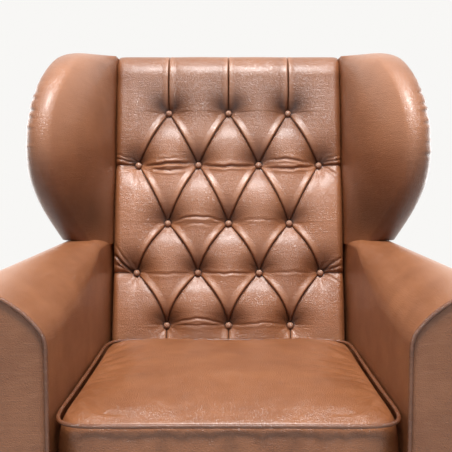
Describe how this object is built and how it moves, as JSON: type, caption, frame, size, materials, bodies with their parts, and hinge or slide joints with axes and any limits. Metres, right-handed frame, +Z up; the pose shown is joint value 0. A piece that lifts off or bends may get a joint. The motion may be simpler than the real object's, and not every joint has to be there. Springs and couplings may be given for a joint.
{
  "type": "wing armchair",
  "caption": "Leather wing armchair with a deep-buttoned back, plain wings, scroll arms with piped fronts, a loose seat cushion and short wooden legs.",
  "frame": {"origin": "on the floor, under the middle of the chair's overall box", "axes": "+Z up; the chair faces -Y, so +Y runs to the rear; +X runs to the right of someone who stands before the chair and looks at it"},
  "size_m": [0.8544, 0.8173, 1.0614],
  "materials": {
    "leather": "pigmented cow leather, tan, soft semi-gloss",
    "leather_buttons": "the same leather drawn over button shells",
    "leather_piping": "the same leather sewn over a cord",
    "stained_wood": "dark stained hardwood, satin lacquer",
    "beech": "planed beech, unfinished",
    "webbing": "woven jute webbing",
    "lining": "dark woven lining cloth",
    "glide_steel": "pressed steel"
  },
  "bodies": {
    "chair": {"front_leg_left": "stained_wood", "front_leg_right": "stained_wood", "rear_leg_left": "stained_wood", "rear_leg_right": "stained_wood", "glides": "glide_steel", "seat_rail_front": "beech", "seat_rail_back": "beech", "seat_rail_left": "beech", "seat_rail_right": "beech", "corner_blocks": "beech", "webbing_lengthwise": "webbing", "webbing_crosswise": "webbing", "deck_pad": "lining", "dust_cover": "lining", "back_post_left": "beech", "back_post_right": "beech", "crest_rail": "beech", "lower_back_rail": "beech", "back_webbing": "webbing", "arm_stump_left": "beech", "arm_stump_right": "beech", "arm_rail_left": "beech", "arm_rail_right": "beech", "wing_frame_left": "beech", "wing_frame_right": "beech", "back_pad": "leather", "back_buttons": "leather_buttons", "outside_back": "leather", "wing_pad_left": "leather", "wing_pad_right": "leather", "outside_wing_left": "leather", "outside_wing_right": "leather", "arm_pad_left": "leather", "arm_pad_right": "leather", "arm_roll_left": "leather", "arm_roll_right": "leather", "outside_arm_left": "leather", "outside_arm_right": "leather", "arm_facing_left": "leather", "arm_facing_right": "leather", "arm_piping_left": "leather_piping", "arm_piping_right": "leather_piping", "front_border": "leather", "border_piping": "leather_piping"},
    "cushion": {"seat_cushion": "leather", "cushion_piping": "leather_piping"}
  },
  "joints": [
    {"name": "cushion_lift", "type": "slide", "parent": "chair", "child": "cushion", "axis": [0, 0, 1], "range_m": [0, 0.4]}
  ]
}
